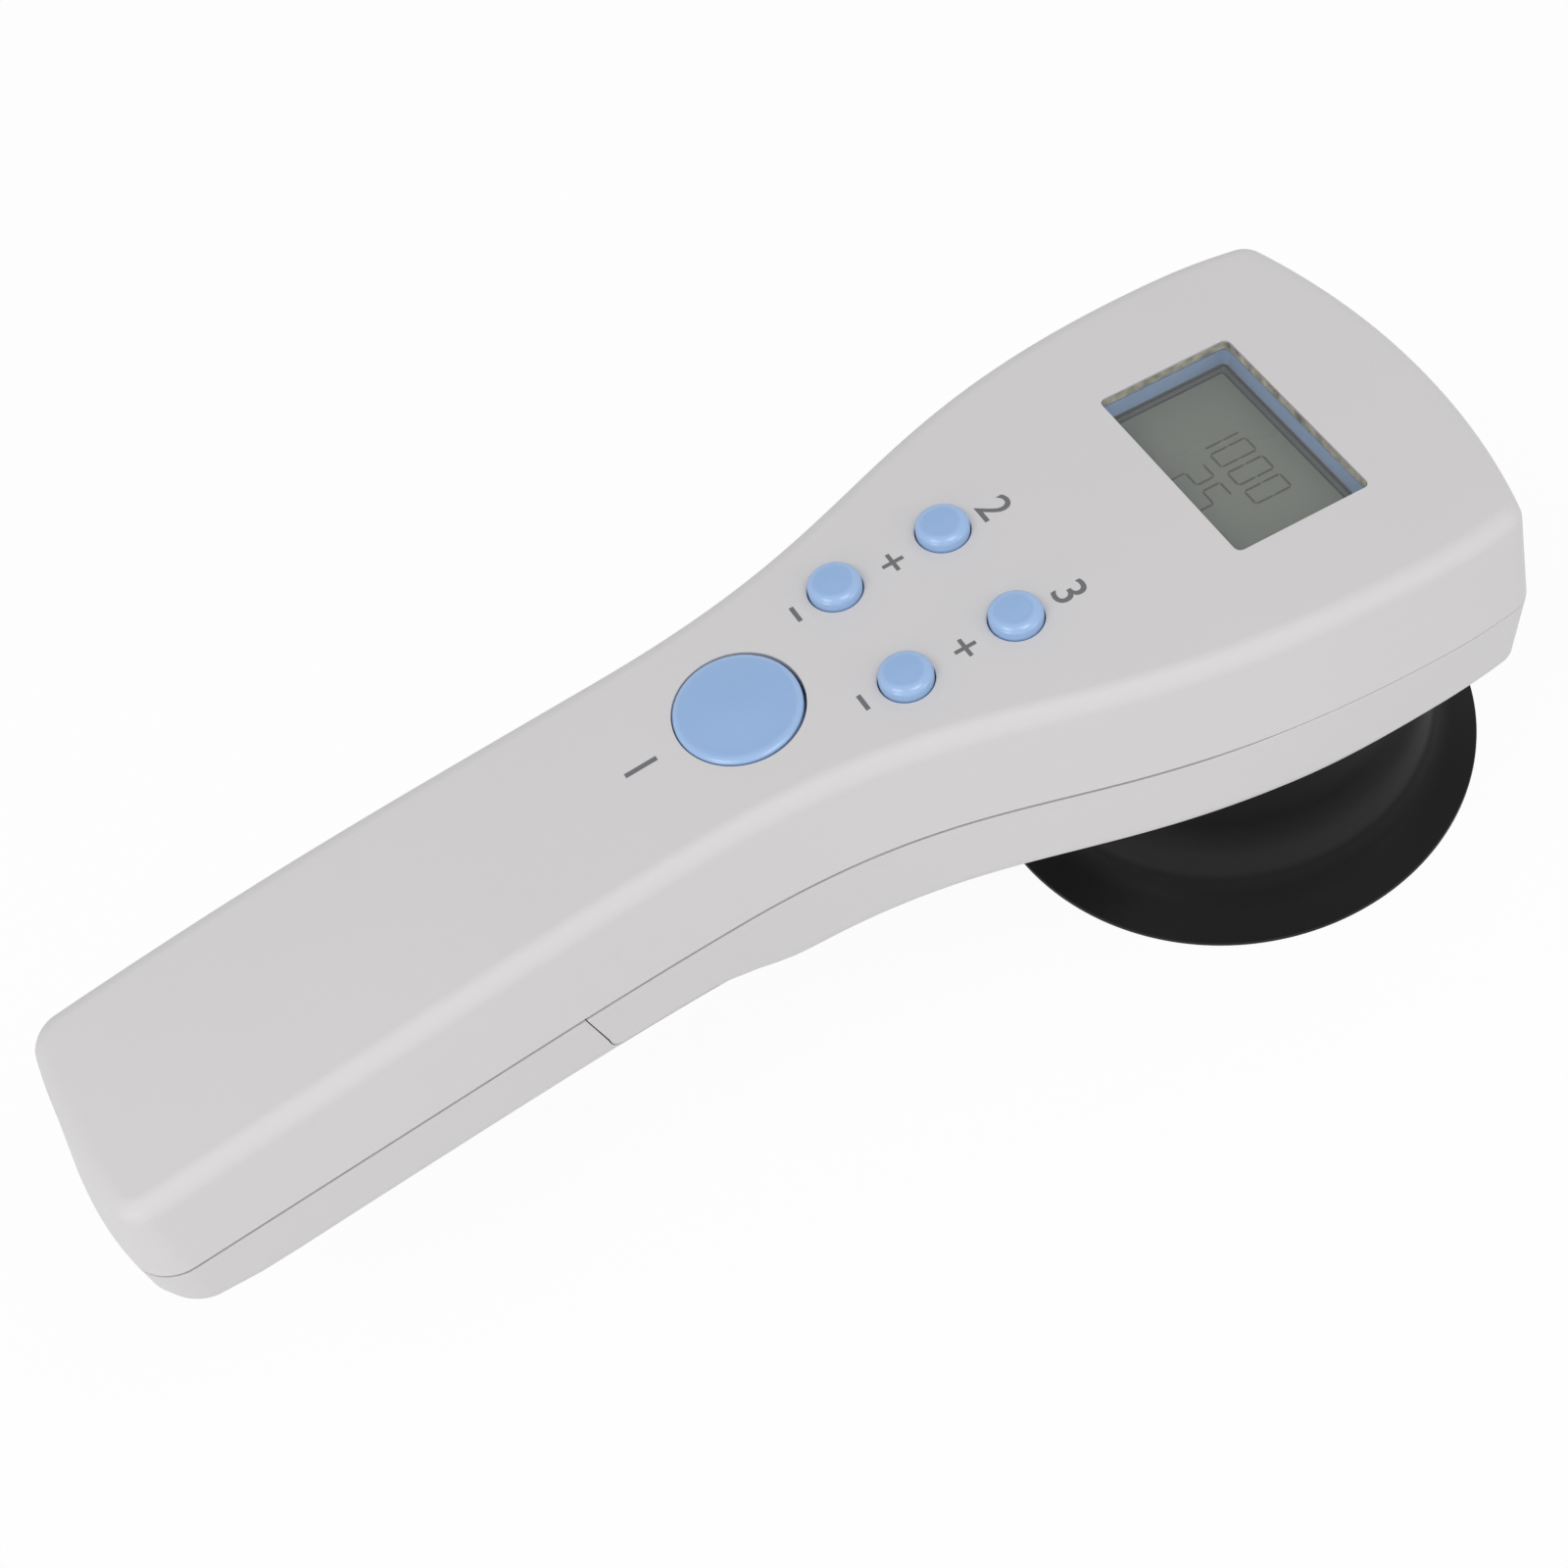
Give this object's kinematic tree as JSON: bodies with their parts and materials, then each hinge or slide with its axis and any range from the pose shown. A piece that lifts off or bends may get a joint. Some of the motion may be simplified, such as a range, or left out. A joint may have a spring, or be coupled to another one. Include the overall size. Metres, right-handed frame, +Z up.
{
  "type": "handheld audiometer",
  "caption": "Handheld hearing screener: slim light grey casing that widens to a head with a small display, blue keys along the face, and a round rubber cushioned earphone under the head.",
  "frame": {"origin": "under the middle of the whole length, in the plane of the cushion's rim, on the centre line of the casing", "axes": "+X along the casing from the handle to the head, +Y across it, +Z up out of the face with the keys"},
  "size_m": [0.1806, 0.064, 0.0609],
  "materials": {
    "casing": "fine satin, light warm grey",
    "lens": "clear polished acrylic",
    "display_frame": "light blue translucent",
    "lcd": "grey-green display glass",
    "key": "light blue satin",
    "dark_plastic": "black satin",
    "pale_plastic": "natural white",
    "cushion": "matte black",
    "board": "green solder mask",
    "steel": "plain",
    "cell": "printed sleeve, bare",
    "red_lead": "red insulation",
    "black_lead": "black insulation"
  },
  "bodies": {
    "casing": {"upper_shell": "casing", "lower_shell": "casing", "display_lens": "lens", "display_frame": "display_frame", "lcd_panel": "lcd", "lcd_holder": "pale_plastic", "lcd_strip_rear": "dark_plastic", "lcd_strip_front": "dark_plastic", "measure_switch": "dark_plastic", "frequency_down_switch": "dark_plastic", "frequency_up_switch": "dark_plastic", "level_down_switch": "dark_plastic", "level_up_switch": "dark_plastic", "main_board": "board", "processor_chip": "dark_plastic", "tone_chip": "dark_plastic", "crystal": "steel", "earphone_socket": "pale_plastic", "battery_socket": "pale_plastic", "earphone_housing": "dark_plastic", "earphone_grille": "dark_plastic", "driver_basket": "steel", "driver_magnet": "steel", "ear_cushion": "cushion", "earphone_lead_a": "red_lead", "earphone_lead_b": "black_lead", "battery_tray": "dark_plastic", "battery_cell_a": "cell", "battery_cell_b": "cell", "contact_bridge_rear": "steel", "contact_plate_front": "steel", "contact_spring_rear": "steel", "contact_spring_front": "steel", "battery_lead_a": "red_lead", "battery_lead_b": "black_lead", "case_screw_1": "steel", "case_screw_2": "steel", "case_screw_3": "steel", "case_screw_4": "steel", "board_screw_1": "steel", "board_screw_2": "steel", "board_screw_3": "steel", "board_screw_4": "steel", "tray_screw_1": "steel", "tray_screw_2": "steel", "earphone_screw_1": "steel", "earphone_screw_2": "steel", "earphone_screw_3": "steel"},
    "measure": {"measure_key": "key", "measure_plunger": "dark_plastic"},
    "frequency_down": {"frequency_down_key": "key", "frequency_down_plunger": "dark_plastic"},
    "frequency_up": {"frequency_up_key": "key", "frequency_up_plunger": "dark_plastic"},
    "level_down": {"level_down_key": "key", "level_down_plunger": "dark_plastic"},
    "level_up": {"level_up_key": "key", "level_up_plunger": "dark_plastic"},
    "cover": {"battery_cover": "casing"}
  },
  "joints": [
    {"name": "measure_press", "type": "slide", "parent": "casing", "child": "measure", "axis": [0, 0, -1], "range_m": [0, 0.0006], "stiffness_N_per_m": 800, "springref_m": -0.001},
    {"name": "frequency_down_press", "type": "slide", "parent": "casing", "child": "frequency_down", "axis": [0, 0, -1], "range_m": [0, 0.0006], "stiffness_N_per_m": 800, "springref_m": -0.001},
    {"name": "frequency_up_press", "type": "slide", "parent": "casing", "child": "frequency_up", "axis": [0, 0, -1], "range_m": [0, 0.0006], "stiffness_N_per_m": 800, "springref_m": -0.001},
    {"name": "level_down_press", "type": "slide", "parent": "casing", "child": "level_down", "axis": [0, 0, -1], "range_m": [0, 0.0006], "stiffness_N_per_m": 800, "springref_m": -0.001},
    {"name": "level_up_press", "type": "slide", "parent": "casing", "child": "level_up", "axis": [0, 0, -1], "range_m": [0, 0.0006], "stiffness_N_per_m": 800, "springref_m": -0.001},
    {"name": "cover_slide", "type": "slide", "parent": "casing", "child": "cover", "axis": [-0.9988, 0, -0.0499], "range_m": [0, 0.01]}
  ]
}
